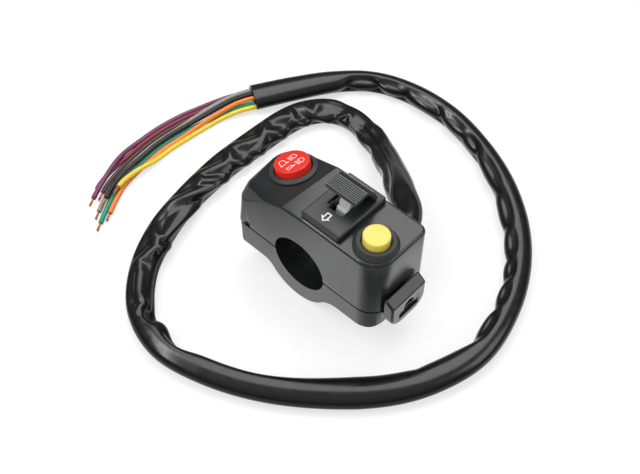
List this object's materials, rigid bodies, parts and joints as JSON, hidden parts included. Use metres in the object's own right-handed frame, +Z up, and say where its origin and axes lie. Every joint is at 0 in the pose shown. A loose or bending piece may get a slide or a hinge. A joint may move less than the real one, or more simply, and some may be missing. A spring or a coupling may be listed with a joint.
{
  "type": "handlebar switch cluster",
  "caption": "Two-part clamp housing for a round handlebar with a lamp push button, a ribbed turn signal lever, a horn button and a sleeved cable that ends in bare wires.",
  "frame": {"origin": "centre of the bar's bore, on the parting plane of the two housing halves, midway along the bore", "axes": "+X along the housing towards the horn end, +Y along the bar towards the cable side, +Z up through the buttons"},
  "size_m": [0.165, 0.1605, 0.0536],
  "materials": {
    "housing_black": "satin moulded ABS",
    "collar_grey": "fine matt moulded ABS",
    "lamp_red": "smooth moulded ABS",
    "horn_yellow": "smooth moulded ABS",
    "stem_grey": "moulded acetal",
    "nylon_natural": "moulded nylon",
    "phenolic_brown": "pressed phenolic board",
    "steel": "zinc plated",
    "brass": "stamped",
    "gland_rubber": "moulded",
    "lead_black": "extruded PVC",
    "sleeve_pvc": "glossy soft PVC tube",
    "copper": "bare stranded copper",
    "wire_purple": "extruded PVC insulation",
    "wire_red": "extruded PVC insulation",
    "wire_brown": "extruded PVC insulation",
    "wire_grey": "extruded PVC insulation",
    "wire_black": "extruded PVC insulation",
    "wire_green": "extruded PVC insulation",
    "wire_orange": "extruded PVC insulation",
    "wire_yellow": "extruded PVC insulation"
  },
  "bodies": {
    "housing": {"upper_housing": "housing_black", "lower_clamp": "housing_black", "clamp_screws": "steel", "lamp_collar": "collar_grey", "lamp_spring": "steel", "lamp_base": "phenolic_brown", "lamp_contacts": "brass", "horn_collar": "collar_grey", "horn_spring": "steel", "horn_base": "phenolic_brown", "horn_contacts": "brass", "turn_bezel": "housing_black", "lever_pin": "steel", "turn_base": "phenolic_brown", "turn_contacts": "brass", "cable_gland": "gland_rubber", "inner_leads": "lead_black", "cable_sleeve": "sleeve_pvc", "wire_purple": "wire_purple", "wire_red": "wire_red", "wire_brown": "wire_brown", "wire_grey": "wire_grey", "wire_black": "wire_black", "wire_green": "wire_green", "wire_orange": "wire_orange", "wire_yellow": "wire_yellow", "copper_ends": "copper"},
    "lamp_button": {"lamp_cap": "lamp_red", "lamp_plunger": "nylon_natural", "lamp_bridge": "brass"},
    "horn_button": {"horn_cap": "horn_yellow", "horn_plunger": "nylon_natural", "horn_bridge": "brass"},
    "turn_lever": {"lever_knob": "housing_black", "lever_stem": "stem_grey", "detent_spring": "steel", "detent_ball": "steel", "turn_wiper": "brass"}
  },
  "joints": [
    {"name": "lamp_press", "type": "slide", "parent": "housing", "child": "lamp_button", "axis": [0.2588, 0, -0.9659], "range_m": [0, 0.0022], "stiffness_N_per_m": 800, "springref_m": -0.0015, "deforming": ["lamp_spring"]},
    {"name": "horn_press", "type": "slide", "parent": "housing", "child": "horn_button", "axis": [0, 0, -1], "range_m": [0, 0.0018], "stiffness_N_per_m": 700, "springref_m": -0.0015, "deforming": ["horn_spring"]},
    {"name": "turn_tilt", "type": "hinge", "parent": "housing", "child": "turn_lever", "pos_m": [0.0086, 0, 0.0244], "axis": [1, 0, 0], "range_deg": [0, 55]}
  ]
}
